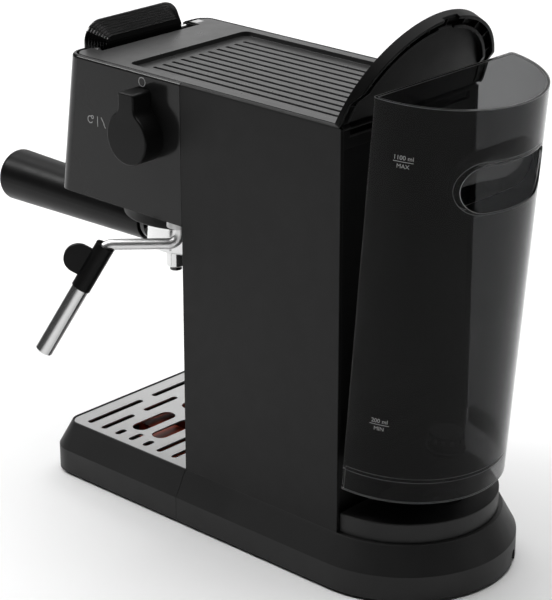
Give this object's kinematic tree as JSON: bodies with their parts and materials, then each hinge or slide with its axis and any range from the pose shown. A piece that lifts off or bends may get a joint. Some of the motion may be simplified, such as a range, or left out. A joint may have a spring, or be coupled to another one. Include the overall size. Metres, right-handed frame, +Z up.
{
  "type": "espresso machine",
  "caption": "Slim countertop pump espresso machine with portafilter, steam wand, drip tray, cup-warming top, brew paddle and a lift-out rear water tank under a hinged lid.",
  "frame": {"origin": "on the resting plane, under the middle of the footprint, at the centre foot's lower face", "axes": "+Z up, -Y toward the user at the front, +X toward the steam knob and wand"},
  "size_m": [0.1977, 0.4592, 0.367],
  "materials": {
    "shell_black": "fine matte texture",
    "head_black": "semi-gloss",
    "cover_grey": "satin",
    "gloss_black": "glossy, ribbed",
    "grip_black": "satin moulded grip",
    "rubber_black": "soft matte",
    "seal_grey": "soft matte",
    "steel_bright": "polished",
    "steel_satin": "satin brushed",
    "alloy": "as cast",
    "brass": "turned",
    "lens_clear": "frosted",
    "smoke_clear": "transparent smoke tint",
    "float_red": "satin",
    "board_green": "solder-masked board",
    "pump_grey": "satin",
    "hose_white": "silicone"
  },
  "bodies": {
    "machine": {"base_shell": "shell_black", "base_plate": "shell_black", "feet": "rubber_black", "base_screws": "steel_satin", "cord_bushing": "rubber_black", "column_shell": "shell_black", "rear_panel": "shell_black", "head_shell": "head_black", "head_floor": "shell_black", "top_cover": "cover_grey", "indicator_lens": "lens_clear", "paddle_pocket": "shell_black", "paddle_rod": "steel_satin", "steam_valve": "brass", "group_collar": "shell_black", "group_head": "alloy", "group_gasket": "seal_grey", "shower_screen": "steel_satin", "screen_screw": "steel_satin", "boiler": "alloy", "pump": "pump_grey", "pump_mounts": "rubber_black", "water_pipe": "hose_white", "control_board": "board_green", "wand_socket": "alloy", "tank_pedestal": "shell_black", "tank_inlet_seal": "rubber_black", "hinge_bracket": "shell_black", "lid_hinge_rod": "steel_satin"},
    "knob": {"steam_knob": "grip_black", "knob_shaft": "brass"},
    "paddle": {"brew_paddle": "gloss_black"},
    "wand": {"wand_tube": "steel_satin", "wand_ball": "alloy", "wand_sleeve": "grip_black", "wand_nozzle": "steel_bright"},
    "portafilter": {"filter_holder": "steel_bright", "filter_basket": "steel_satin", "handle": "grip_black", "handle_ferrule": "gloss_black", "spout": "steel_bright", "spout_tips": "gloss_black", "clip_pin": "steel_satin"},
    "clip": {"basket_clip": "grip_black"},
    "tray": {"drip_tray": "shell_black"},
    "grille": {"drip_grille": "steel_satin"},
    "float": {"tray_float": "float_red"},
    "tank": {"tank_shell": "smoke_clear", "tank_valve": "grip_black", "tank_filter": "seal_grey"},
    "tank_lid": {"lid": "head_black"}
  },
  "joints": [
    {"name": "brew_rock", "type": "hinge", "parent": "machine", "child": "paddle", "pos_m": [0, -0.144, 0.3015], "axis": [1, 0, 0], "range_deg": [-8, 8]},
    {"name": "steam_turn", "type": "hinge", "parent": "machine", "child": "knob", "pos_m": [0.065, -0.0735, 0.265], "axis": [1, 0, 0], "range_deg": [0, 90]},
    {"name": "wand_swing", "type": "hinge", "parent": "machine", "child": "wand", "pos_m": [0.0526, -0.054, 0.21], "axis": [0, 0, 1], "range_deg": [-30, 60]},
    {"name": "portafilter_twist", "type": "hinge", "parent": "machine", "child": "portafilter", "pos_m": [0, -0.095, 0.19], "axis": [0, 0, 1], "range_deg": [-45, 0]},
    {"name": "clip_flip", "type": "hinge", "parent": "portafilter", "child": "clip", "pos_m": [0, -0.1382, 0.1899], "axis": [-1, 0, 0], "range_deg": [0, 20]},
    {"name": "tray_slide", "type": "slide", "parent": "machine", "child": "tray", "axis": [0, -1, 0], "range_m": [0, 0.16]},
    {"name": "grille_lift", "type": "slide", "parent": "tray", "child": "grille", "axis": [0, 0, 1], "range_m": [0, 0.04]},
    {"name": "float_rise", "type": "slide", "parent": "tray", "child": "float", "axis": [0, 0, 1], "range_m": [0, 0.004]},
    {"name": "tank_seat", "type": "hinge", "parent": "machine", "child": "tank", "pos_m": [0, 0.4854, 0.06156], "axis": [-1, 0, 0], "range_deg": [-4.85, 0]},
    {"name": "lid_hinge", "type": "hinge", "parent": "machine", "child": "tank_lid", "pos_m": [0, 0.093, 0.303], "axis": [1, 0, 0], "range_deg": [-54, 0]}
  ],
  "couplings": [
    {"joint": "lid_hinge", "follows": "tank_seat", "ratio": 11.134}
  ]
}
